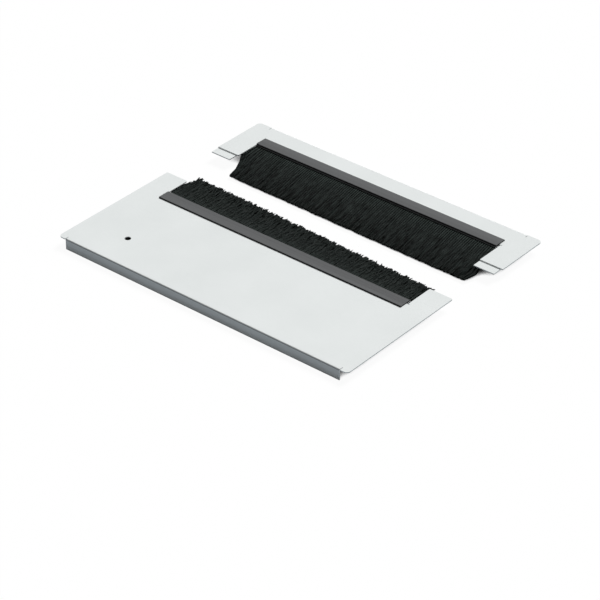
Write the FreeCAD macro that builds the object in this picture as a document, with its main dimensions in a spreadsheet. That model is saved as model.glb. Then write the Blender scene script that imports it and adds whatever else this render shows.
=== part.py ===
import FreeCAD, Part
import math
import os
import random
import Sketcher

# Brush cable grommet for a cabinet floor: two folded steel plates whose notches close round a cable bundle.
# Each notch's edge carries a strip brush. The halves stand apart on their flanges, as before fitting.
# Millimetres, +Z up, origin on the floor below the middle of the pair, front half towards -Y.

# Driving dimensions
SIZES = {
    # both plates
    "plate_width": 500,            # side to side
    "sheet_thickness": 1.5,
    "front_depth": 217.5,          # front half, from its flange to the ends of its arms
    "rear_depth": 90.5,            # rear half, from its flange to the step of its tabs
    "halves_gap": 99,              # between the front half's arms and the rear half's steps
    "rear_shift": 8,               # the rear half lies this far to the right of the front one
    "arm_width": 37.5,             # each arm beside a notch
    "notch_depth": 47,
    "ear_radius": 6,               # rounded corners beside the flanges
    "arm_end_radius": 2,           # corners at the ends of the arms
    "flange_height": 16.5,         # plate top to the flange's lower edge
    "front_flange_inset": 13,      # each ear beyond the flange's end
    "rear_flange_inset": 24,
    "bend_radius": 0.5,            # inside radius of the flange's bend
    "relief_width": 0.9,           # slit between a flange's end and its ear
    "relief_depth": 6,
    "corner_relief_length": 2.5,   # small slots at the notch's inner corners
    "corner_relief_width": 1.2,
    # earthing hole in the front plate
    "earth_hole_diameter": 9,
    "earth_hole_from_side": 76.5,
    "earth_hole_from_front": 54.5,
    # stepped tabs of the rear plate, which slide under the front plate's arms
    "tab_depth": 14,
    "tab_inset": 4,                # each tab is this much narrower than its arm
    "lap_clearance": 0.3,          # between a tab and the arm above it
    "step_radius": 0.6,            # bend at the top of the step
    # brush holder, an extruded profile pushed onto the notch's edge
    "holder_grip": 12,             # upper limb, over the plate
    "holder_nose": 7.5,            # upper limb, over the notch
    "upper_limb_thickness": 2.1,
    "lower_limb_length": 8,
    "lower_limb_thickness": 2,
    "web_thickness": 1.6,          # between the sheet and the channel
    "floor_thickness": 1.6,        # under the channel
    "floor_setback": 1.5,          # the floor ends this far behind the nose
    "slot_clearance": 0.15,        # below and behind the sheet in its slot
    "left_end_clearance": 0.5,     # between the strip's ends and the arms, seen from the front
    "right_end_clearance": 2,
    "holder_edge_radius": 0.8,
    # folded steel channel that clamps the bristles
    "channel_height": 6,
    "channel_wall": 0.8,
    "channel_lip": 1.8,            # the channel stands out this far from the holder's nose
    "channel_clearance": 0.1,
    "channel_bend_radius": 1.1,    # outside radius of its two bends
    "wire_diameter": 1.6,          # core wire that the bristles are folded round
    # bristles, in tufts that stand apart at their roots
    "bundle_clearance": 0.05,      # between the folded bristles and the channel
    "tuft_pitch": 3.5,
    "tuft_root_gap": 1.0,          # between neighbouring tufts where they leave the channel
    "tuft_belly_gap": 0.3,         # between neighbouring tufts at their widest
    "tuft_ridge_slope": 0.8,       # rise of the ridge along a tuft, for each millimetre of half its width
    "front_reach_left": 60,        # bristles beyond the channel, at the left end seen from the front
    "front_reach_middle": 56.5,
    "front_reach_right": 45,
    "front_droop": 2.4,            # the tips' middle lies this far below the channel's middle
    "front_tip_height": 7,
    "front_lean_left": 0,          # the left end's tips lean this far to the right
    "front_lean_right": 4,
    "front_ragged": 3.2,           # spread of the tips' lengths
    "rear_reach_left": 71.5,
    "rear_reach_middle": 74.5,
    "rear_reach_right": 77,
    "rear_droop": 9.8,
    "rear_tip_height": 6,
    "rear_lean_left": 10,
    "rear_lean_right": 6,
    "rear_ragged": 1.2,
}

doc = FreeCAD.newDocument("brush_cable_grommet")
sheet = doc.addObject("Spreadsheet::Sheet", "sizes")
for row, (alias, value) in enumerate(SIZES.items(), start=1):
    sheet.set(f"A{row}", alias)
    sheet.set(f"B{row}", str(value))
    sheet.setAlias(f"B{row}", alias)
doc.recompute()

# Formulas that several pieces share. Each half has a frame of its own, with its origin on the plate's top
# at the middle of the notch's edge, and +Y from the plate towards the other half.
SHEET = "sizes.sheet_thickness"
PLATE_HALF = "sizes.plate_width / 2"
NOTCH_HALF = f"({PLATE_HALF} - sizes.arm_width)"
BEND_OUTSIDE = f"(sizes.bend_radius + {SHEET})"
TAB_STEP = f"({SHEET} + sizes.lap_clearance)"
STRIP_LENGTH = f"(2 * {NOTCH_HALF} - sizes.left_end_clearance - sizes.right_end_clearance)"
STRIP_SHIFT = "(sizes.left_end_clearance - sizes.right_end_clearance) / 2"
SLOT_BOTTOM = f"({SHEET} + sizes.slot_clearance)"
POCKET_BACK = "(sizes.slot_clearance + sizes.web_thickness)"
POCKET_HEIGHT = "(sizes.channel_height + 2 * sizes.channel_clearance)"
CHANNEL_BACK = f"({POCKET_BACK} + sizes.channel_clearance)"
CHANNEL_MOUTH = "(sizes.holder_nose + sizes.channel_lip)"
CHANNEL_TOP = "(-sizes.channel_clearance)"
CHANNEL_BOTTOM = f"({CHANNEL_TOP} - sizes.channel_height)"
CHANNEL_MIDDLE = f"({CHANNEL_TOP} - sizes.channel_height / 2)"
FOLD_RADIUS = "(sizes.channel_height / 2 - sizes.channel_wall - sizes.bundle_clearance)"
WIRE_PLACE = f"({CHANNEL_BACK} + sizes.channel_wall + sizes.bundle_clearance + {FOLD_RADIUS})"
PAIR_DEPTH = "(sizes.front_depth + sizes.halves_gap + sizes.rear_depth)"

HALVES = {
    "front": {
        "depth": "sizes.front_depth",
        "flange_inset": "sizes.front_flange_inset",
        "x": "-sizes.rear_shift / 2",
        "y": f"-{PAIR_DEPTH} / 2 + sizes.front_depth - sizes.notch_depth",
        "turn": 0,
        "seed": 3,
    },
    "rear": {
        "depth": "sizes.rear_depth",
        "flange_inset": "sizes.rear_flange_inset",
        "x": "sizes.rear_shift / 2",
        "y": f"{PAIR_DEPTH} / 2 - sizes.rear_depth + sizes.notch_depth",
        "turn": 180,
        "seed": 8,
    },
}


SAME_PLACE = 1e-4     # points closer than this count as one
HOLE_MARGIN = 0.01    # share of the hole's volume by which its cut may differ
BELLY_SHARE = 0.5     # a tuft is widest this far along


def measure(formula):
    return float(sheet.evalExpression(formula))


def place(piece, half, shift="0"):
    upright = FreeCAD.Vector(0, 0, 1)
    piece.Placement = FreeCAD.Placement(FreeCAD.Vector(), FreeCAD.Rotation(upright, half["turn"]))
    piece.setExpression("Placement.Base.x", f"{half['x']} + {shift}")
    piece.setExpression("Placement.Base.y", half["y"])
    piece.setExpression("Placement.Base.z", "sizes.flange_height")


def new_body(name):
    body = doc.addObject("PartDesign::Body", name)
    body.Label = name
    return body


def new_sketch(body, name, plane):
    sketch = body.newObject("Sketcher::SketchObject", name)
    datum = next(item for item in body.Origin.OriginFeatures if item.Role == plane)
    sketch.AttachmentSupport = [(datum, "")]
    sketch.MapMode = "FlatFace"
    return sketch


def pin_point(sketch, geometry, vertex, across, along):
    for direction, formula in (("DistanceX", across), ("DistanceY", along)):
        index = sketch.addConstraint(
            Sketcher.Constraint(direction, -1, 1, geometry, vertex, sketch.evalExpression(formula)))
        sketch.setExpression(f"Constraints[{index}]", formula)


def draw_outline(sketch, corners):
    places = [FreeCAD.Vector(measure(across), measure(along), 0) for across, along in corners]
    count = len(corners)
    for index in range(count):
        sketch.addGeometry(Part.LineSegment(places[index], places[(index + 1) % count]))
    for index in range(count):
        sketch.addConstraint(Sketcher.Constraint("Coincident", index, 2, (index + 1) % count, 1))
    for index, (across, along) in enumerate(corners):
        pin_point(sketch, index, 1, across, along)


def draw_circle(sketch, across, along, diameter):
    centre = FreeCAD.Vector(measure(across), measure(along), 0)
    circle = sketch.addGeometry(Part.Circle(centre, FreeCAD.Vector(0, 0, 1), measure(diameter) / 2))
    pin_point(sketch, circle, 3, across, along)
    index = sketch.addConstraint(Sketcher.Constraint("Diameter", circle, measure(diameter)))
    sketch.setExpression(f"Constraints[{index}]", diameter)


def pad(body, name, sketch, length, side="One side", turned=False):
    feature = body.newObject("PartDesign::Pad", name)
    feature.Profile = sketch
    feature.SideType = side
    feature.Reversed = turned
    feature.setExpression("Length", length)
    doc.recompute()
    return feature


def round_edges(body, name, base, radius, chosen):
    names = [f"Edge{number}" for number, edge in enumerate(base.Shape.Edges, start=1) if chosen(edge)]
    fillet = body.newObject("PartDesign::Fillet", name)
    fillet.Base = (base, names)
    fillet.setExpression("Radius", radius)
    doc.recompute()
    return fillet


def is_near(point, x=None, y=None, z=None):
    wanted = ((point.x, x), (point.y, y), (point.z, z))
    return all(target is None or abs(value - target) < SAME_PLACE for value, target in wanted)


def upright_at(x, y):
    def chosen(edge):
        return all(is_near(vertex.Point, x, y) for vertex in edge.Vertexes)
    return chosen


def crosswise_at(y, z, half_length=math.inf):
    def chosen(edge):
        ends = [vertex.Point for vertex in edge.Vertexes]
        return len(ends) == 2 and all(is_near(end, y=y, z=z) and abs(end.x) < half_length for end in ends)
    return chosen


def any_of(*tests):
    return lambda edge: any(test(edge) for test in tests)


def add_flange(body, edge_line, flange_half, relief_half):
    bend_line = f"({edge_line} + {BEND_OUTSIDE})"
    inner_face = f"({edge_line} + {SHEET})"
    profile = new_sketch(body, "flange_profile", "YZ_Plane")
    draw_outline(profile, [
        (bend_line, "0"),
        (edge_line, "0"),
        (edge_line, "-sizes.flange_height"),
        (inner_face, "-sizes.flange_height"),
        (inner_face, f"-{SHEET}"),
        (bend_line, f"-{SHEET}"),
    ])
    flange = pad(body, "flange", profile, f"2 * {flange_half}", "Symmetric")
    outside = crosswise_at(measure(edge_line), 0, measure(relief_half))
    bend = round_edges(body, "bend_outside", flange, BEND_OUTSIDE, outside)
    inside = crosswise_at(measure(inner_face), -measure(SHEET))
    return round_edges(body, "bend_inside", bend, "sizes.bend_radius", inside)


def make_plate(name, half):
    body = new_body(name)
    edge_line = f"(sizes.notch_depth - {half['depth']})"
    relief_line = f"({edge_line} + sizes.relief_depth)"
    bend_line = f"({edge_line} + {BEND_OUTSIDE})"
    flange_half = f"({PLATE_HALF} - {half['flange_inset']})"
    relief_half = f"({flange_half} + sizes.relief_width)"
    corner_slot = f"({NOTCH_HALF} + sizes.corner_relief_length)"
    right_side = [
        (flange_half, bend_line),
        (flange_half, relief_line),
        (relief_half, relief_line),
        (relief_half, edge_line),
        (PLATE_HALF, edge_line),
        (PLATE_HALF, "sizes.notch_depth"),
        (NOTCH_HALF, "sizes.notch_depth"),
        (NOTCH_HALF, "sizes.corner_relief_width"),
        (corner_slot, "sizes.corner_relief_width"),
        (corner_slot, "0"),
    ]
    left_side = [(f"-{across}", along) for across, along in reversed(right_side)]
    outline = new_sketch(body, "outline", "XY_Plane")
    draw_outline(outline, right_side + left_side)
    pad(body, "blank", outline, SHEET, turned=True)
    folded = add_flange(body, edge_line, flange_half, relief_half)
    side = measure(PLATE_HALF)
    edge = measure(edge_line)
    ears = any_of(upright_at(side, edge), upright_at(-side, edge))
    body.Tip = round_edges(body, "ear_corners", folded, "sizes.ear_radius", ears)
    place(body, half)
    return body


def round_arm_ends(body, corners):
    ends = any_of(*[upright_at(x, measure("sizes.notch_depth")) for x in corners])
    body.Tip = round_edges(body, "arm_end_corners", body.Tip, "sizes.arm_end_radius", ends)


def add_earth_hole(body):
    sketch = new_sketch(body, "earth_hole_place", "XY_Plane")
    across = f"(sizes.earth_hole_from_side - {PLATE_HALF})"
    along = "(sizes.earth_hole_from_front + sizes.notch_depth - sizes.front_depth)"
    draw_circle(sketch, across, along, "sizes.earth_hole_diameter")
    before = body.Shape.Volume
    hole = body.newObject("PartDesign::Pocket", "earth_hole")
    hole.Profile = sketch
    hole.Type = "ThroughAll"
    body.Tip = hole
    doc.recompute()
    expected = math.pi / 4 * measure("sizes.earth_hole_diameter") ** 2 * measure(SHEET)
    if abs(before - body.Shape.Volume - expected) > HOLE_MARGIN * expected:
        raise RuntimeError("the earthing hole isn't cut through the plate")


def add_tab(body, name, start):
    line = "sizes.notch_depth"
    riser_back = f"({line} - {SHEET})"
    tab_end = f"({line} + sizes.tab_depth)"
    underside = f"-({TAB_STEP} + {SHEET})"
    profile = new_sketch(body, f"{name}_profile", "YZ_Plane")
    profile.setExpression("AttachmentOffset.Base.z", start)
    draw_outline(profile, [
        (riser_back, "0"),
        (line, "0"),
        (line, f"-{TAB_STEP}"),
        (tab_end, f"-{TAB_STEP}"),
        (tab_end, underside),
        (riser_back, underside),
    ])
    body.Tip = pad(body, name, profile, "sizes.arm_width - sizes.tab_inset")


def make_front_plate(half):
    body = make_plate("front_plate", half)
    side = measure(PLATE_HALF)
    notch = measure(NOTCH_HALF)
    round_arm_ends(body, (side, notch, -notch, -side))
    add_earth_hole(body)
    return body


def make_rear_plate(half):
    # this half is turned round, so its left arm seen from the front is on its own +X side
    body = make_plate("rear_plate", half)
    round_arm_ends(body, (measure(NOTCH_HALF),))
    add_tab(body, "left_tab", f"{NOTCH_HALF} + sizes.tab_inset")
    add_tab(body, "right_tab", f"sizes.tab_inset - {PLATE_HALF}")
    step_edges = crosswise_at(measure("sizes.notch_depth"), 0)
    body.Tip = round_edges(body, "step_bend", body.Tip, "sizes.step_radius", step_edges)
    return body


def make_holder(name, half):
    body = new_body(name)
    profile = new_sketch(body, "profile", "YZ_Plane")
    lower_limb = f"-({SLOT_BOTTOM} + sizes.lower_limb_thickness)"
    floor_end = "(sizes.holder_nose - sizes.floor_setback)"
    floor_bottom = f"-({POCKET_HEIGHT} + sizes.floor_thickness)"
    draw_outline(profile, [
        ("-sizes.holder_grip", "sizes.upper_limb_thickness"),
        ("-sizes.holder_grip", "0"),
        ("sizes.slot_clearance", "0"),
        ("sizes.slot_clearance", f"-{SLOT_BOTTOM}"),
        ("-sizes.lower_limb_length", f"-{SLOT_BOTTOM}"),
        ("-sizes.lower_limb_length", lower_limb),
        ("sizes.slot_clearance", lower_limb),
        ("sizes.slot_clearance", floor_bottom),
        (floor_end, floor_bottom),
        (floor_end, f"-{POCKET_HEIGHT}"),
        (POCKET_BACK, f"-{POCKET_HEIGHT}"),
        (POCKET_BACK, "0"),
        ("sizes.holder_nose", "0"),
        ("sizes.holder_nose", "sizes.upper_limb_thickness"),
    ])
    extrusion = pad(body, "extrusion", profile, STRIP_LENGTH, "Symmetric")
    top = measure("sizes.upper_limb_thickness")
    upper_edges = any_of(crosswise_at(-measure("sizes.holder_grip"), top),
                         crosswise_at(measure("sizes.holder_nose"), top))
    body.Tip = round_edges(body, "upper_edges", extrusion, "sizes.holder_edge_radius", upper_edges)
    place(body, half, STRIP_SHIFT)
    return body


def make_channel(name, half):
    body = new_body(name)
    profile = new_sketch(body, "profile", "YZ_Plane")
    inner_back = f"({CHANNEL_BACK} + sizes.channel_wall)"
    inner_top = f"({CHANNEL_TOP} - sizes.channel_wall)"
    inner_bottom = f"({CHANNEL_BOTTOM} + sizes.channel_wall)"
    draw_outline(profile, [
        (CHANNEL_BACK, CHANNEL_TOP),
        (CHANNEL_BACK, CHANNEL_BOTTOM),
        (CHANNEL_MOUTH, CHANNEL_BOTTOM),
        (CHANNEL_MOUTH, inner_bottom),
        (inner_back, inner_bottom),
        (inner_back, inner_top),
        (CHANNEL_MOUTH, inner_top),
        (CHANNEL_MOUTH, CHANNEL_TOP),
    ])
    strip = pad(body, "strip", profile, STRIP_LENGTH, "Symmetric")
    back = measure(CHANNEL_BACK)
    bends = any_of(crosswise_at(back, measure(CHANNEL_TOP)), crosswise_at(back, measure(CHANNEL_BOTTOM)))
    body.Tip = round_edges(body, "bends", strip, "sizes.channel_bend_radius", bends)
    place(body, half, STRIP_SHIFT)
    return body


def make_wire(name, half):
    body = new_body(name)
    section = new_sketch(body, "section", "YZ_Plane")
    draw_circle(section, WIRE_PLACE, CHANNEL_MIDDLE, "sizes.wire_diameter")
    body.Tip = pad(body, "rod", section, STRIP_LENGTH, "Symmetric")
    place(body, half, STRIP_SHIFT)
    return body


def tuft_section(x, y, bottom, top, half_width):
    # upright sides under a ridge, whose slope is the same in every section
    eaves = top - half_width * measure("sizes.tuft_ridge_slope")
    corners = [
        (half_width, bottom),
        (half_width, eaves),
        (0, top),
        (-half_width, eaves),
        (-half_width, bottom),
    ]
    return [FreeCAD.Vector(x + across, y, z) for across, z in corners]


def flat_face(*corners):
    return Part.Face(Part.makePolygon(list(corners) + [corners[0]]))


def tuft_solid(root, belly, tip_bottom, tip_top):
    right_foot, right_eaves, ridge, left_eaves, left_foot = belly
    faces = [flat_face(*root)]
    for index in range(len(root)):
        after = (index + 1) % len(root)
        faces.append(flat_face(root[index], root[after], belly[after], belly[index]))
    faces.append(flat_face(right_foot, right_eaves, tip_top, tip_bottom))
    faces.append(flat_face(right_eaves, ridge, tip_top))
    faces.append(flat_face(ridge, left_eaves, tip_top))
    faces.append(flat_face(left_eaves, left_foot, tip_bottom, tip_top))
    faces.append(flat_face(left_foot, right_foot, tip_bottom))
    solid = Part.Solid(Part.Shell(faces))
    if solid.Volume < 0:
        solid.reverse()
    return solid


def make_tufts(side, half):
    # tufts spread and droop from the channel's mouth, and end unevenly in chisel tips
    length = measure(STRIP_LENGTH)
    pitch = measure("sizes.tuft_pitch")
    count = int(length / pitch)
    mouth = measure(CHANNEL_MOUTH)
    middle = measure(CHANNEL_MIDDLE)
    droop = measure(f"sizes.{side}_droop")
    root_height = measure(FOLD_RADIUS)
    tip_height = measure(f"sizes.{side}_tip_height") / 2
    belly_height = root_height + (tip_height - root_height) * BELLY_SHARE
    belly_middle = middle - droop * BELLY_SHARE
    root_width = (pitch - measure("sizes.tuft_root_gap")) / 2
    belly_width = (pitch - measure("sizes.tuft_belly_gap")) / 2
    left = measure(f"sizes.{side}_reach_left")
    middle_reach = measure(f"sizes.{side}_reach_middle")
    right = measure(f"sizes.{side}_reach_right")
    ragged = measure(f"sizes.{side}_ragged")
    lean_left = measure(f"sizes.{side}_lean_left")
    lean_right = measure(f"sizes.{side}_lean_right")
    facing = round(math.cos(math.radians(half["turn"])))
    uneven = random.Random(half["seed"])
    tufts = []
    for number in range(count):
        x = (number + 0.5 - count / 2) * pitch
        share = 0.5 + facing * x / length
        bow = 4 * share * (1 - share) * (middle_reach - (left + right) / 2)
        reach = left + (right - left) * share + bow + ragged * (uneven.random() - 0.5)
        lean = facing * (lean_left + (lean_right - lean_left) * share)
        root = tuft_section(x, mouth, middle - root_height, middle + root_height, root_width)
        belly = tuft_section(x + lean * BELLY_SHARE ** 2, mouth + reach * BELLY_SHARE,
                             belly_middle - belly_height, belly_middle + belly_height, belly_width)
        tip_bottom = FreeCAD.Vector(x + lean, mouth + reach, middle - droop - tip_height)
        tip_top = FreeCAD.Vector(x + lean, mouth + reach, middle - droop + tip_height)
        tufts.append(tuft_solid(root, belly, tip_bottom, tip_top))
    group = doc.addObject("Part::Feature", f"{side}_tufts")
    group.Shape = Part.makeCompound(tufts)
    return group


def make_bristles(name, side, half):
    neck = doc.addObject("Part::Box", f"{side}_neck")
    neck.setExpression("Length", STRIP_LENGTH)
    neck.setExpression("Width", f"{CHANNEL_MOUTH} - {WIRE_PLACE}")
    neck.setExpression("Height", f"2 * {FOLD_RADIUS}")
    neck.setExpression("Placement.Base.x", f"-{STRIP_LENGTH} / 2")
    neck.setExpression("Placement.Base.y", WIRE_PLACE)
    neck.setExpression("Placement.Base.z", f"{CHANNEL_MIDDLE} - {FOLD_RADIUS}")

    lengthwise = FreeCAD.Rotation(FreeCAD.Vector(0, 1, 0), 90)
    rods = {}
    for use, radius in (("fold", FOLD_RADIUS), ("wire_space", "sizes.wire_diameter / 2")):
        rod = doc.addObject("Part::Cylinder", f"{side}_{use}")
        rod.setExpression("Radius", radius)
        rod.setExpression("Height", STRIP_LENGTH)
        rod.Placement = FreeCAD.Placement(FreeCAD.Vector(), lengthwise)
        rod.setExpression("Placement.Base.x", f"-{STRIP_LENGTH} / 2")
        rod.setExpression("Placement.Base.y", WIRE_PLACE)
        rod.setExpression("Placement.Base.z", CHANNEL_MIDDLE)
        rods[use] = rod

    folded = doc.addObject("Part::Fuse", f"{side}_folded")
    folded.Base = neck
    folded.Tool = rods["fold"]
    bundle = doc.addObject("Part::Cut", f"{side}_bundle")
    bundle.Base = folded
    bundle.Tool = rods["wire_space"]
    bristles = doc.addObject("Part::Fuse", name)
    bristles.Base = bundle
    bristles.Tool = make_tufts(side, half)
    bristles.Refine = False
    bristles.Label = name
    place(bristles, half, STRIP_SHIFT)
    return bristles


pieces = []
for side, half in HALVES.items():
    pieces.append(make_front_plate(half) if side == "front" else make_rear_plate(half))
    pieces.append(make_holder(f"{side}_brush_holder", half))
    pieces.append(make_channel(f"{side}_brush_channel", half))
    pieces.append(make_wire(f"{side}_core_wire", half))
    pieces.append(make_bristles(f"{side}_bristles", side, half))
doc.recompute()

for item in doc.Objects:
    if "Invalid" in item.State or "Error" in item.State:
        raise RuntimeError(f"{item.Label} failed: {item.State}")
for piece in pieces:
    if piece.Shape.isNull() or not piece.Shape.isValid():
        raise RuntimeError(f"{piece.Label} has no valid shape")

os.makedirs("parts", exist_ok=True)
for piece in pieces:
    piece.Shape.exportStep(f"parts/{piece.Label}.step")
    print(piece.Label, len(piece.Shape.Solids), "solids,", round(piece.Shape.Volume), "mm3")
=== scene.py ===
import math
import random

import bmesh
import bpy
from mathutils import Matrix, Vector


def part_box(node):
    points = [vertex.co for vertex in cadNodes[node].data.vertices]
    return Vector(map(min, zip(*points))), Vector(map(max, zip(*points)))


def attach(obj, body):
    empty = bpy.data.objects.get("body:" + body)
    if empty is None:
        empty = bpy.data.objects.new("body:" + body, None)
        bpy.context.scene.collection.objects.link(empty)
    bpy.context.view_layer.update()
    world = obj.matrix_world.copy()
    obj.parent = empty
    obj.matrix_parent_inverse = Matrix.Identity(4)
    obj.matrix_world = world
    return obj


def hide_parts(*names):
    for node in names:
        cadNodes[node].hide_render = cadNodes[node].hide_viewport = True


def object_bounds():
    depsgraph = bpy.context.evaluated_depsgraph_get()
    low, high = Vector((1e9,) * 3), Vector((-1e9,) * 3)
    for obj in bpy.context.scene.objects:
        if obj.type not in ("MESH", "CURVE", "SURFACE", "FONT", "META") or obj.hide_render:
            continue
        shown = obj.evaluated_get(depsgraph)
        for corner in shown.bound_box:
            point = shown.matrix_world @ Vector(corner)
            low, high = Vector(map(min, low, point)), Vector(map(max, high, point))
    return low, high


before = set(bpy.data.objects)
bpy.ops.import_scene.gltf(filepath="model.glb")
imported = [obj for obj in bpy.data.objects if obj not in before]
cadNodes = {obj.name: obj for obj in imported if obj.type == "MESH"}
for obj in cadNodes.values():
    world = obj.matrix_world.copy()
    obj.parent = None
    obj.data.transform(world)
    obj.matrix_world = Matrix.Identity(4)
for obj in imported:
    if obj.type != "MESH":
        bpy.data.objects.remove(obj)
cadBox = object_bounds()
print("frame loaded:", len(cadNodes), "pieces")


# Node helpers

def newFinish(name):
    finish = bpy.data.materials.new(name)
    finish.use_nodes = True
    tree = finish.node_tree
    return finish, tree, tree.nodes["Principled BSDF"]


def addNode(tree, kind, settings=None, **sockets):
    node = tree.nodes.new(kind)
    for key, value in (settings or {}).items():
        setattr(node, key, value)
    for key, value in sockets.items():
        node.inputs[key.replace("_", " ")].default_value = value
    return node


def placePattern(tree, stretch=(1, 1, 1)):
    coords = addNode(tree, "ShaderNodeTexCoord")
    mapping = addNode(tree, "ShaderNodeMapping", Scale=stretch)
    tree.links.new(coords.outputs["Object"], mapping.inputs["Vector"])
    return mapping.outputs["Vector"]


def addNoise(tree, vector, scale, detail=3.0, roughness=0.5):
    noise = addNode(tree, "ShaderNodeTexNoise", Scale=scale, Detail=detail, Roughness=roughness)
    tree.links.new(vector, noise.inputs["Vector"])
    return noise.outputs["Fac"]


def addRamp(tree, source, low, high, start=0.3, end=0.7):
    ramp = addNode(tree, "ShaderNodeValToRGB")
    ramp.color_ramp.elements[0].position = start
    ramp.color_ramp.elements[1].position = end
    ramp.color_ramp.elements[0].color = low
    ramp.color_ramp.elements[1].color = high
    tree.links.new(source, ramp.inputs["Fac"])
    return ramp.outputs["Color"]


def addRange(tree, source, low, high, start=0.3, end=0.7):
    span = addNode(tree, "ShaderNodeMapRange", From_Min=start, From_Max=end, To_Min=low, To_Max=high)
    tree.links.new(source, span.inputs["Value"])
    return span.outputs["Result"]


def addMath(tree, operation, first, second=None):
    result = addNode(tree, "ShaderNodeMath", {"operation": operation})
    tree.links.new(first, result.inputs[0])
    if isinstance(second, (int, float)):
        result.inputs[1].default_value = second
    elif second is not None:
        tree.links.new(second, result.inputs[1])
    return result.outputs["Value"]


def addFacing(tree, axis):
    parts = addNode(tree, "ShaderNodeSeparateXYZ")
    tree.links.new(addNode(tree, "ShaderNodeNewGeometry").outputs["Normal"], parts.inputs["Vector"])
    return parts.outputs[axis]


def addBlend(tree, share, first, second):
    blend = addNode(tree, "ShaderNodeMix", {"data_type": "RGBA"})
    tree.links.new(share, blend.inputs[0])
    for socket, colour in zip(blend.inputs[6:8], (first, second)):     # its two colours
        if isinstance(colour, tuple):
            socket.default_value = colour
        else:
            tree.links.new(colour, socket)
    return blend.outputs[2]


def addBump(tree, height, relief, below=None):
    bump = addNode(tree, "ShaderNodeBump", Strength=relief[0], Distance=relief[1])
    tree.links.new(height, bump.inputs["Height"])
    if below is not None:
        tree.links.new(below, bump.inputs["Normal"])
    return bump.outputs["Normal"]


# Finishes

powderCoat = {
    "palest": (0.765, 0.793, 0.788, 1),
    "darkest": (0.728, 0.757, 0.752, 1),
    "bends": (0.4, 0.418, 0.42, 1),        # painted shade along the bends, where the face turns from the top to the flange
    "bendShadeSlope": (0.35, 0.47),
    "cloudScale": 14,
    "peelScale": 900,
    "grainScale": 3200,
    "peelRelief": (0.12, 0.0002),          # strength, height
    "grainRelief": (0.06, 0.0001),
    "roughness": (0.42, 0.54),
    "gloss": 0.35,
}


def makePowderCoat():
    finish, tree, shader = newFinish("powder_coat")
    place = placePattern(tree)
    cloud = addNoise(tree, place, powderCoat["cloudScale"], 4)
    peel = addNoise(tree, place, powderCoat["peelScale"], 2)
    grain = addNoise(tree, place, powderCoat["grainScale"], 1)
    flat = addRamp(tree, cloud, powderCoat["darkest"], powderCoat["palest"])
    halfway = addMath(tree, "SUBTRACT", addFacing(tree, "Z"), 0.5)     # between a flat face and a flange
    # painted shade: the coat's colour darkens over the bends between a flat face and a flange
    bendShadeShare = addRange(tree, addMath(tree, "ABSOLUTE", halfway), 1, 0, *powderCoat["bendShadeSlope"])
    tree.links.new(addBlend(tree, bendShadeShare, flat, powderCoat["bends"]), shader.inputs["Base Color"])
    tree.links.new(addRange(tree, peel, *powderCoat["roughness"]), shader.inputs["Roughness"])
    relief = addBump(tree, peel, powderCoat["peelRelief"])
    relief = addBump(tree, grain, powderCoat["grainRelief"], relief)
    tree.links.new(relief, shader.inputs["Normal"])
    shader.inputs["Specular IOR Level"].default_value = powderCoat["gloss"]
    return finish


holderPlastic = {
    "palest": (0.108, 0.111, 0.113, 1),
    "darkest": (0.084, 0.086, 0.088, 1),
    "sides": (0.012, 0.0125, 0.013, 1),    # painted shade: the sides and rounded edges are near black, darker than the top's plastic
    "topSlope": (0.75, 0.98),
    "drawLines": (2, 420, 420),
    "crossShade": (-0.17, 0.14),            # painted shading across the top, darker at the bristles' edge and lighter at the outer one
    "grainScale": 2600,
    "lineRelief": (0.15, 0.0002),
    "grainRelief": (0.08, 0.0001),
    "roughness": (0.42, 0.56),
    "gloss": 0.15,
}


def makeHolderPlastic():
    finish, tree, shader = newFinish("holder_plastic")
    lines = addNoise(tree, placePattern(tree, holderPlastic["drawLines"]), 1, 3)
    grain = addNoise(tree, placePattern(tree), holderPlastic["grainScale"], 2)
    front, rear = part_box("front_brush_holder"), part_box("rear_brush_holder")
    middle = (front[1].y + rear[0].y) / 2
    place = addNode(tree, "ShaderNodeSeparateXYZ")
    tree.links.new(placePattern(tree), place.inputs["Vector"])
    outward = addMath(tree, "ABSOLUTE", addMath(tree, "SUBTRACT", place.outputs["Y"], middle))
    # painted shading across each holder's top, from its bristles' edge to its outer edge
    fade = addRange(tree, outward, *holderPlastic["crossShade"], rear[0].y - middle, rear[1].y - middle)
    linesAndCrossShade = addMath(tree, "ADD", lines, fade)
    linedAndShadedTop = addRamp(tree, linesAndCrossShade, holderPlastic["darkest"], holderPlastic["palest"])
    # painted shade: faces turned away from the top take the near-black side colour
    onTop = addRange(tree, addFacing(tree, "Z"), 0, 1, *holderPlastic["topSlope"])
    tree.links.new(addBlend(tree, onTop, holderPlastic["sides"], linedAndShadedTop), shader.inputs["Base Color"])
    tree.links.new(addRange(tree, lines, *holderPlastic["roughness"]), shader.inputs["Roughness"])
    relief = addBump(tree, lines, holderPlastic["lineRelief"])
    relief = addBump(tree, grain, holderPlastic["grainRelief"], relief)
    tree.links.new(relief, shader.inputs["Normal"])
    shader.inputs["Specular IOR Level"].default_value = holderPlastic["gloss"]
    return finish


shadedStrip = {
    # painted shade: the strip is coloured near black for the shade it lies in under the holder
    "palest": (0.02, 0.021, 0.022, 1),
    "darkest": (0.011, 0.0115, 0.012, 1),
    "cutEnds": (0.62, 0.63, 0.64, 1),      # bare steel, which shows at the cut ends
    "endSlope": (0.7, 0.9),
    "rollLines": (6, 900, 900),
    "lineRelief": (0.2, 0.0001),
    "roughness": (0.4, 0.55),
    "gloss": 0.2,
}


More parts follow.
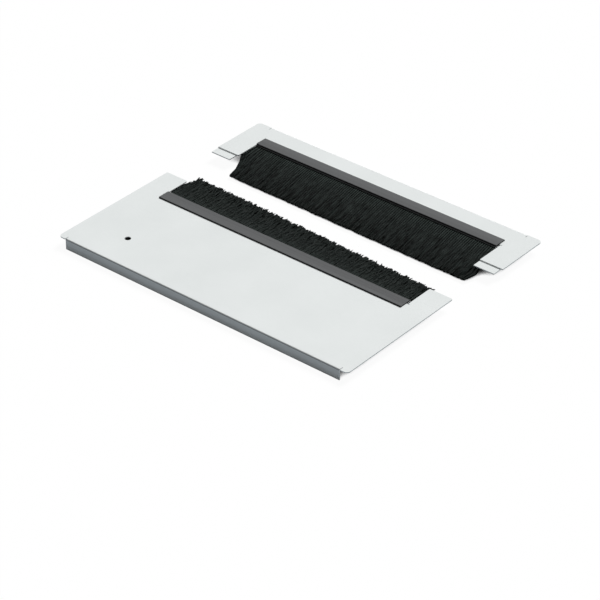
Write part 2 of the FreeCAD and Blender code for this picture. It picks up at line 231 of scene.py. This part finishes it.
def makeShadedStrip():
    finish, tree, shader = newFinish("shaded_strip")
    lines = addNoise(tree, placePattern(tree, shadedStrip["rollLines"]), 1, 2)
    # painted shade: near black everywhere but the cut ends
    stripShade = addRamp(tree, lines, shadedStrip["darkest"], shadedStrip["palest"])
    endwise = addMath(tree, "ABSOLUTE", addFacing(tree, "X"))
    bare = addRange(tree, endwise, 0, 1, *shadedStrip["endSlope"])
    tree.links.new(addBlend(tree, bare, stripShade, shadedStrip["cutEnds"]), shader.inputs["Base Color"])
    tree.links.new(bare, shader.inputs["Metallic"])
    tree.links.new(addRange(tree, lines, *shadedStrip["roughness"]), shader.inputs["Roughness"])
    tree.links.new(addBump(tree, lines, shadedStrip["lineRelief"]), shader.inputs["Normal"])
    shader.inputs["Specular IOR Level"].default_value = shadedStrip["gloss"]
    return finish


drawnWire = {
    "palest": (0.55, 0.55, 0.56, 1),
    "darkest": (0.42, 0.42, 0.43, 1),
    "drawLines": (8, 2400, 2400),
    "roughness": (0.25, 0.4),
}


def makeDrawnWire():
    finish, tree, shader = newFinish("drawn_wire")
    lines = addNoise(tree, placePattern(tree, drawnWire["drawLines"]), 1, 2)
    colour = addRamp(tree, lines, drawnWire["darkest"], drawnWire["palest"])
    tree.links.new(colour, shader.inputs["Base Color"])
    tree.links.new(addRange(tree, lines, *drawnWire["roughness"]), shader.inputs["Roughness"])
    shader.inputs["Metallic"].default_value = 1
    return finish


nylon = {
    "palest": (0.054, 0.068, 0.063, 1),
    "darkest": (0.0008, 0.0012, 0.001, 1),
    "grainStretch": (900, 60, 900),
    "fleckStretch": {"front": (420, 380, 420), "rear": (420, 60, 420)},    # matted, and combed straight
    "fleckStrength": {"front": 0.32, "rear": 0.5},
    "roughness": (0.42, 0.6),
    "gloss": 0.04,
}


def makeNylon(side):
    finish, tree, shader = newFinish(f"{side}_bristle_nylon")
    tone = addNode(tree, "ShaderNodeAttribute", {"attribute_name": "tone"})    # by stretches of each lock
    fleck = addNoise(tree, placePattern(tree, nylon["fleckStretch"][side]), 1, 2)
    half = nylon["fleckStrength"][side] / 2
    lively = addMath(tree, "ADD", tone.outputs["Fac"], addRange(tree, fleck, -half, half))
    grain = addNoise(tree, placePattern(tree, nylon["grainStretch"]), 1, 2)
    colour = addRamp(tree, lively, nylon["darkest"], nylon["palest"], 0, 1)
    tree.links.new(colour, shader.inputs["Base Color"])
    tree.links.new(addRange(tree, grain, *nylon["roughness"]), shader.inputs["Roughness"])
    shader.inputs["Specular IOR Level"].default_value = nylon["gloss"]
    return finish


finishes = {
    "plate": makePowderCoat(),
    "brush_holder": makeHolderPlastic(),
    "brush_channel": makeShadedStrip(),
    "core_wire": makeDrawnWire(),
    "front_bristles": makeNylon("front"),
    "rear_bristles": makeNylon("rear"),
}
for name, node in cadNodes.items():
    piece = name.split("_", 1)[1]
    node.data.materials.clear()
    node.data.materials.append(finishes.get(piece) or finishes[name])
print("finishes made:", len(finishes))


# Bristles: one filament is modelled, gathered into locks, and the locks into tufts along each strip.
# The filaments are folded round the core wire, so each brush has an upper and a lower layer.

filament = {
    "radius": 0.00024,
    "sides": 3,
    "stretches": 5,            # between the root and the tip
    "tipShare": 0.8,           # width left at the tip
}

lockForm = {
    "turn": 2.4,               # from filament to filament round the lock's middle
    "halfHeight": 0.0003,
    "flatness": 0.25,          # power of the sideways swell that is left for the height
    "wander": 0.4,             # share of the curl that each stretch adds
    "toneFade": 2.2,           # steepness of the change from the root's and to the tip's tone
}

strip = {
    "pitch": 0.0035,           # from tuft to tuft
    "tuftsInRun": 12,          # placed one by one, and then repeated along the strip
    "runs": 10,
    "rows": (-0.00033, 0.00033),
    "layerMiddle": 0.00147,    # above or below the strip's middle
    "evenReach": 0.06,         # length as modelled, before the cage shapes the brush
    "tangleGrowth": 0.23,      # each axis has larger tangles than the one before
    "tangleDepth": 2,
    "cageColumns": 31,
    "cageHeight": 0.02,
}

brushes = {
    "front": {                 # matted and ragged
        "turn": 0,
        "upper": {
            "seed": 22,
            "columns": 5,
            "filaments": 4,
            "kinds": 14,
            "tuftWidth": 0.0014,     # between the middles of its outer locks
            "halfWidth": 0.00028,
            "swell": (1.0, 1.5, 2.2, 2.4, 2.3, 1.9),      # from the root to the tip
            "unevenness": 0.06,      # among the filaments of a lock
            "lengths": (0.2, 0.96),  # shares of the brush's reach
            "curl": 0.007,           # how far a tip may wander sideways
            "lift": (-0.0006, 0.0014),
            "tone": 0.29,            # from the darkest, 0, to the palest, 1
            # painted light on the upper layer's roots
            "rootLightShade": 0.6,
            "tipTone": 0.27,
            "liveliness": 0.1,
        },
        "lower": {
            "seed": 20,
            "columns": 2,
            "filaments": 10,
            "kinds": 10,
            "tuftWidth": 0.0013,
            "halfWidth": 0.00045,
            "swell": (1.0, 1.3, 1.9, 2.3, 2.5, 2.4),
            "unevenness": 0.03,
            "lengths": (0.96, 1),
            "curl": 0.0025,
            "lift": (-0.0018, 0.001),
            "tone": 0.25,
            # painted shade on the lower layer's roots, in the gaps between tufts
            "rootLightShade": 0.15,
            "tipTone": 0.22,
            "liveliness": 0.14,
        },
        "tangle": (0.004, 0.009, 0.003),
        "tangleScale": 0.0038,
        "reach": (0.0611, 0.0538, 0.0466),           # left end, middle, right end
        "leftEdge": {"upper": (0, 0.002, 0.0036, 0.0042, 0.0044, 0.0042),      # sideways, from roots to tips
                     "lower": (0, -0.008, -0.009, -0.003, 0.003, 0.0038)},
        "between": (0, 0, 0, 0.0002, 0.0004, 0.0006),
        "rightEdge": {"upper": (0, 0, -0.0003, -0.001, -0.0018, -0.001),
                      "lower": (0, 0.0003, 0.001, 0.002, 0.004, 0.0075)},
        "droop": (0, 0.0002, 0.0006, 0.0010, 0.0014, 0.0018),
    },
    "rear": {                  # combed straight
        "turn": math.pi,
        "upper": {
            "seed": 35,
            "columns": 2,
            "filaments": 10,
            "kinds": 12,
            "tuftWidth": 0.0009,
            "halfWidth": 0.00036,
            "swell": (1.0, 1.2, 1.9, 2.9, 3.4, 3.4),
            "unevenness": 0.015,
            "lengths": (0.98, 1),
            "curl": 0.0016,
            "lift": (-0.0018, -0.0006),
            "tone": 0.2,
            # painted light on the upper layer's roots
            "rootLightShade": 0.8,
            "tipTone": 0.13,
            "liveliness": 0.34,
        },
        "lower": {
            "seed": 33,
            "columns": 2,
            "filaments": 10,
            "kinds": 8,
            "tuftWidth": 0.0009,
            "halfWidth": 0.00036,
            "swell": (1.0, 1.2, 2.4, 3.2, 3.4, 3.4),
            "unevenness": 0.015,
            "lengths": (0.98, 1),
            "curl": 0.0012,
            "lift": (-0.002, -0.0008),
            "tone": 0.18,
            # painted shade on the lower layer's roots, in the gaps between tufts
            "rootLightShade": 0,
            "tipTone": 0.13,
            "liveliness": 0.34,
        },
        "tangle": (0.002, 0.0014, 0.0012),
        "tangleScale": 0.006,
        "reach": (0.0741, 0.0761, 0.0775),
        "leftEdge": {"upper": (-0.001, -0.006, -0.007, 0.006, 0.0098, 0.0125),
                     "lower": (-0.001, -0.006, -0.008, 0.006, 0.0098, 0.0125)},
        "between": (0, 0.0014, 0.0028, 0.0042, 0.0056, 0.007),
        "rightEdge": {"upper": (0, 0.003, 0.0065, 0.011, 0.0125, 0.006),
                      "lower": (0, 0.003, 0.0065, 0.011, 0.0125, 0.006)},
        "droop": (0, 0.0018, 0.0037, 0.0056, 0.0074, 0.0092),
    },
}


def pickPoints(piece, wanted):
    mesh = bmesh.from_edit_mesh(piece.data)
    for point in mesh.verts:
        point.select_set(wanted(point.co))
    mesh.select_flush_mode()
    bmesh.update_edit_mesh(piece.data)


def pickOnly(pieces):
    bpy.ops.object.select_all(action="DESELECT")
    for piece in pieces:
        piece.select_set(True)
    bpy.context.view_layer.objects.active = pieces[0]


def copyOf(piece):
    pickOnly([piece])
    bpy.ops.object.duplicate()
    return bpy.context.object


def modelFilament():
    bpy.ops.object.select_all(action="DESELECT")
    bpy.ops.mesh.primitive_cylinder_add(vertices=filament["sides"], radius=filament["radius"], depth=1,
                                        location=(0, 0.5, 0), rotation=(-math.pi / 2, 0, 0))
    hair = bpy.context.object
    bpy.ops.object.transform_apply(location=True, rotation=True, scale=True)
    bpy.ops.object.mode_set(mode="EDIT")
    bpy.ops.mesh.select_mode(type="EDGE")
    bpy.ops.mesh.select_all(action="DESELECT")
    mesh = bmesh.from_edit_mesh(hair.data)
    for edge in mesh.edges:
        edge.select_set(edge.calc_length() > 0.5)     # those along it
    bmesh.update_edit_mesh(hair.data)
    bpy.ops.mesh.subdivide(number_cuts=filament["stretches"] - 1)
    bpy.ops.mesh.select_mode(type="VERT")
    pickPoints(hair, lambda place: place.y > 0.999)
    narrow = filament["tipShare"]
    bpy.ops.transform.resize(value=(narrow, 1, narrow), center_override=(0, 1, 0))
    bpy.ops.mesh.select_all(action="SELECT")
    bpy.ops.mesh.faces_shade_smooth()
    bpy.ops.mesh.select_mode(type="FACE")
    bpy.ops.mesh.select_all(action="DESELECT")
    mesh = bmesh.from_edit_mesh(hair.data)
    for face in mesh.faces:
        face.select_set(abs(face.normal.y) > 0.9)     # the cut ends stay flat
    bmesh.update_edit_mesh(hair.data)
    bpy.ops.mesh.faces_shade_flat()
    bpy.ops.mesh.mark_sharp()
    bpy.ops.mesh.select_mode(type="VERT")
    bpy.ops.object.mode_set(mode="OBJECT")
    return hair


def modelLock(hair, style, layer, chance):
    lock = copyOf(hair)
    count = style["filaments"]
    spread = [(math.sqrt((index + 0.5) / count), index * lockForm["turn"]) for index in range(count)]
    places = [(style["halfWidth"] * out * math.cos(turn), lockForm["halfHeight"] * out * math.sin(turn))
              for out, turn in spread]
    bpy.ops.object.mode_set(mode="EDIT")
    bpy.ops.mesh.select_all(action="SELECT")
    bpy.ops.transform.translate(value=(places[0][0], 0, places[0][1]))
    length = 1.0
    for before, place in zip(places, places[1:]):
        bpy.ops.mesh.duplicate()
        nextLength = chance.uniform(1 - style["unevenness"], 1)
        bpy.ops.transform.resize(value=(1, nextLength / length, 1), center_override=(0, 0, 0))
        bpy.ops.transform.translate(value=(place[0] - before[0], 0, place[1] - before[1]))
        length = nextLength
    side = style["curl"] * chance.uniform(-1, 1)
    rise = layer * chance.uniform(*style["lift"])
    stretch = (1 - style["unevenness"] / 2) / filament["stretches"]
    for ring in range(filament["stretches"] + 1):
        along = ring / filament["stretches"]
        pickPoints(lock, lambda place: abs(place.y / stretch - ring) < 0.5)
        swell = style["swell"][ring]
        taller = swell ** lockForm["flatness"]
        bpy.ops.transform.resize(value=(swell, 1, taller), center_override=(0, along, 0))
        wander = lockForm["wander"] * style["curl"] * chance.uniform(-1, 1) * along
        bpy.ops.transform.translate(value=(side * along ** 2 + wander, 0, rise * along ** 2))
    bpy.ops.object.mode_set(mode="OBJECT")
    return lock


def toneLock(lock, style, tuftTone, chance):
    # the tuft, the lock and the stretch each have a share in the chance tone
    steps = filament["stretches"]
    fade = lockForm["toneFade"]
    tones = []
    shared = tuftTone + chance.random()
    for step in range(steps + 1):
        # painted light on the upper layer's roots and painted shade on the lower layer's, easing off along
        # the lock
        nearRoot = max(0, 1 - fade * step / steps)
        nearTip = max(0, 1 - fade * (1 - step / steps))
        even = (style["tone"] * (1 - nearRoot - nearTip) + style["rootLightShade"] * nearRoot
                + style["tipTone"] * nearTip)
        tones.append(even + style["liveliness"] * (1 - nearRoot) * ((shared + chance.random()) / 3 - 0.5))
    layer = lock.data.attributes.new("tone", "FLOAT", "POINT")
    places = [min(steps, round(point.co.y * steps)) for point in lock.data.vertices]
    layer.data.foreach_set("value", [tones[place] for place in places])


def layTufts(kinds, style, layer, rootDepth, chance):
    start = -strip["runs"] * strip["tuftsInRun"] * strip["pitch"] / 2
    locks = []
    for tuft in range(strip["tuftsInRun"]):
        tuftTone = chance.random()
        for column in range(style["columns"]):
            for row in strip["rows"]:
                lock = copyOf(chance.choice(kinds))
                across = (column / (style["columns"] - 1) - 0.5) * style["tuftWidth"]
                lock.location = (start + (tuft + 0.5) * strip["pitch"] + across, -rootDepth,
                                 layer * strip["layerMiddle"] + row)
                share = chance.uniform(*style["lengths"])
                lock.scale = (1, share * strip["evenReach"] + rootDepth, 1)
                toneLock(lock, style, tuftTone, chance)
                locks.append(lock)
    pickOnly(locks)
    bpy.ops.object.join()
    bpy.ops.object.transform_apply(location=True, rotation=True, scale=True)
    return bpy.context.object


def applyAll(piece):
    pickOnly([piece])
    for modifier in list(piece.modifiers):
        bpy.ops.object.modifier_apply(modifier=modifier.name)


def tangleTips(side, piece):
    brush = brushes[side]
    loose = piece.vertex_groups.new(name="loose")
    for point in piece.data.vertices:
        share = max(0, point.co.y / strip["evenReach"])
        loose.add([point.index], min(1, share), "REPLACE")
    row = piece.modifiers.new("row", "ARRAY")
    row.count = strip["runs"]
    row.use_relative_offset = False
    row.use_constant_offset = True
    row.constant_offset_displace = (strip["tuftsInRun"] * strip["pitch"], 0, 0)
    for number, axis in enumerate("XYZ"):
        cloud = bpy.data.textures.new(f"{side}_tangle_{axis}", "CLOUDS")
        cloud.noise_scale = brush["tangleScale"] * (1 + strip["tangleGrowth"] * number)
        cloud.noise_depth = strip["tangleDepth"]
        shake = piece.modifiers.new(f"tangle_{axis}", "DISPLACE")
        shake.texture = cloud
        shake.texture_coords = "LOCAL"
        shake.direction = axis
        shake.strength = brush["tangle"][number]
        shake.vertex_group = "loose"
    applyAll(piece)


def shapeBrush(side, title, piece):
    # a cage with columns from the left end to the right one sets the reach, lean, droop and the ends' fans
    brush = brushes[side]
    columns = strip["cageColumns"]
    steps = len(brush["droop"])
    facing = 1 if brush["turn"] == 0 else -1
    sideways = [brush["leftEdge"][title]] + [brush["between"]] * (columns - 2) + [brush["rightEdge"][title]]
    left, middle, right = brush["reach"]
    bpy.ops.object.select_all(action="DESELECT")
    length = strip["runs"] * strip["tuftsInRun"] * strip["pitch"]
    size = Vector((length, strip["evenReach"], strip["cageHeight"]))
    bpy.ops.object.add(type="LATTICE", location=(0, size.y / 2, 0))
    cage = bpy.context.object
    cage.scale = size
    cage.data.points_u, cage.data.points_v, cage.data.points_w = columns, steps, 2
    for direction in "uvw":
        setattr(cage.data, f"interpolation_type_{direction}", "KEY_LINEAR")
    for index, point in enumerate(cage.data.points):
        column = index % columns if facing == 1 else columns - 1 - index % columns
        step = index // columns % steps
        share = column / (columns - 1)
        bow = 4 * share * (1 - share) * (middle - (left + right) / 2)
        reach = left + (right - left) * share + bow
        moved = Vector((facing * sideways[column][step], step / (steps - 1) * (reach - size.y),
                        -brush["droop"][step]))
        point.co_deform = point.co + Vector([part / whole for part, whole in zip(moved, size)])
    bend = piece.modifiers.new("cage", "LATTICE")
    bend.object = cage
    applyAll(piece)
    pickOnly([cage])
    bpy.ops.object.delete()


def makeBristles(side):
    brush = brushes[side]
    low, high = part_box(f"{side}_brush_channel")
    wireLow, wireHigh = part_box(f"{side}_core_wire")
    mouth = high.y if brush["turn"] == 0 else low.y
    rootDepth = abs(mouth - (wireLow.y + wireHigh.y) / 2)
    hair = modelFilament()
    for layer, title in ((1, "upper"), (-1, "lower")):
        style = brush[title]
        chance = random.Random(style["seed"])
        kinds = [modelLock(hair, style, layer, chance) for kind in range(style["kinds"])]
        piece = layTufts(kinds, style, layer, rootDepth, chance)
        tangleTips(side, piece)
        shapeBrush(side, title, piece)
        pickOnly([piece])
        piece.location = ((low.x + high.x) / 2, mouth, (low.z + high.z) / 2)
        piece.rotation_euler.z = brush["turn"]
        bpy.ops.object.transform_apply(location=True, rotation=True, scale=True)
        piece.name = f"{side}_{title}_bristles"
        piece.data.materials.clear()
        piece.data.materials.append(finishes[f"{side}_bristles"])
        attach(piece, "root")
        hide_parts(f"{side}_bristles")
        pickOnly(kinds)
        bpy.ops.object.delete()
        print(piece.name, "made:", len(piece.data.polygons), "faces")
    pickOnly([hair])
    bpy.ops.object.delete()


for side in brushes:
    makeBristles(side)


# Stage: pale floor, one soft lamp overhead, even surroundings, and the camera

stage = {
    "floorHalf": 12,
    "seenWhite": 0.95,         # share of the floor that shows as plain white, and the rest takes the shadow
    "deepShade": (0.1, 0.22),  # openness of the floor, from deep under the plates to clear of them
    # painted shade: the floor's colour deep under the plates
    "paintedShadeTone": (0.03, 0.03, 0.03, 1),
    "shadeReach": 0.06,
    "shadeSamples": 32,
    "floorBounce": (0.44, 0.488, 0.535, 1),
    "roomLevel": 0.11,
    "lampLevel": 1.07 * math.pi,
    "lampTurn": (-35, 6, 0),   # degrees
    "lampSpread": 24,
}


def seenDirectly(tree):
    path = addNode(tree, "ShaderNodeLightPath")
    seen = path.outputs["Is Camera Ray"]
    for other in ("Is Glossy Ray", "Is Transmission Ray"):
        seen = addMath(tree, "MAXIMUM", seen, path.outputs[other])
    return seen


def makeFloorFinish():
    finish = bpy.data.materials.new("pale_floor")
    finish.use_nodes = True
    tree = finish.node_tree
    tree.nodes.remove(tree.nodes["Principled BSDF"])
    seen = seenDirectly(tree)
    occlusion = addNode(tree, "ShaderNodeAmbientOcclusion", {"samples": stage["shadeSamples"]},
                        Distance=stage["shadeReach"])
    openness = occlusion.outputs["AO"]
    # painted shade: where little of the room reaches the floor, its colour darkens and its white glow fades
    shaded = addRamp(tree, openness, stage["paintedShadeTone"], (1, 1, 1, 1), *stage["deepShade"])
    matt = addNode(tree, "ShaderNodeBsdfDiffuse")
    tree.links.new(addBlend(tree, seen, stage["floorBounce"], shaded), matt.inputs["Color"])
    white = addNode(tree, "ShaderNodeEmission", Color=(1, 1, 1, 1), Strength=1.0)
    lit = addRange(tree, openness, 0, stage["seenWhite"], *stage["deepShade"])
    mixed = addNode(tree, "ShaderNodeMixShader")
    tree.links.new(addMath(tree, "MULTIPLY", seen, lit), mixed.inputs[0])
    tree.links.new(matt.outputs["BSDF"], mixed.inputs[1])
    tree.links.new(white.outputs["Emission"], mixed.inputs[2])
    tree.links.new(mixed.outputs["Shader"], tree.nodes["Material Output"].inputs["Surface"])
    return finish


def makeStage():
    bpy.ops.object.select_all(action="DESELECT")
    bpy.ops.mesh.primitive_plane_add(size=2 * stage["floorHalf"], location=(0, 0, cadBox[0].z))
    floor = bpy.context.object
    floor.name = "floor"
    floor.data.materials.append(makeFloorFinish())

    room = bpy.data.worlds.new("room")
    room.use_nodes = True
    bpy.context.scene.world = room
    tree = room.node_tree
    level = addNode(tree, "ShaderNodeMapRange", To_Min=stage["roomLevel"], To_Max=1.0)
    tree.links.new(seenDirectly(tree), level.inputs["Value"])
    tree.links.new(level.outputs["Result"], tree.nodes["Background"].inputs["Strength"])
    tree.nodes["Background"].inputs["Color"].default_value = (1, 1, 1, 1)

    bpy.ops.object.light_add(type="SUN", location=(0, 0, 2))
    lamp = bpy.context.object
    lamp.name = "overhead_lamp"
    lamp.data.energy = stage["lampLevel"]
    lamp.data.angle = math.radians(stage["lampSpread"])
    lamp.rotation_euler = [math.radians(turn) for turn in stage["lampTurn"]]


view = {
    "azimuth": 39.72,          # degrees
    "elevation": 33.67,
    "roll": 0.14,
    "distance": 3.367,
    "lens": 151.6,             # mm, on a 36 mm sensor
    "aim": (0.0464, -0.0559, -0.0347),
}


def makeCamera():
    azimuth = math.radians(view["azimuth"])
    elevation = math.radians(view["elevation"])
    roll = math.radians(view["roll"])
    back = Vector((math.sin(azimuth) * math.cos(elevation),
                   -math.cos(azimuth) * math.cos(elevation),
                   math.sin(elevation)))
    level = Vector((math.cos(azimuth), math.sin(azimuth), 0))
    upright = back.cross(level)
    right = math.cos(roll) * level + math.sin(roll) * upright
    up = math.cos(roll) * upright - math.sin(roll) * level
    bpy.ops.object.camera_add()
    camera = bpy.context.object
    camera.name = "camera"
    camera.data.lens = view["lens"]
    camera.data.clip_end = 100
    turn = Matrix((right, up, back)).transposed().to_4x4()
    camera.matrix_world = Matrix.Translation(Vector(view["aim"]) + back * view["distance"]) @ turn
    bpy.context.scene.camera = camera


makeStage()
makeCamera()
bpy.context.scene.view_settings.view_transform = "Standard"
print("stage and camera set")
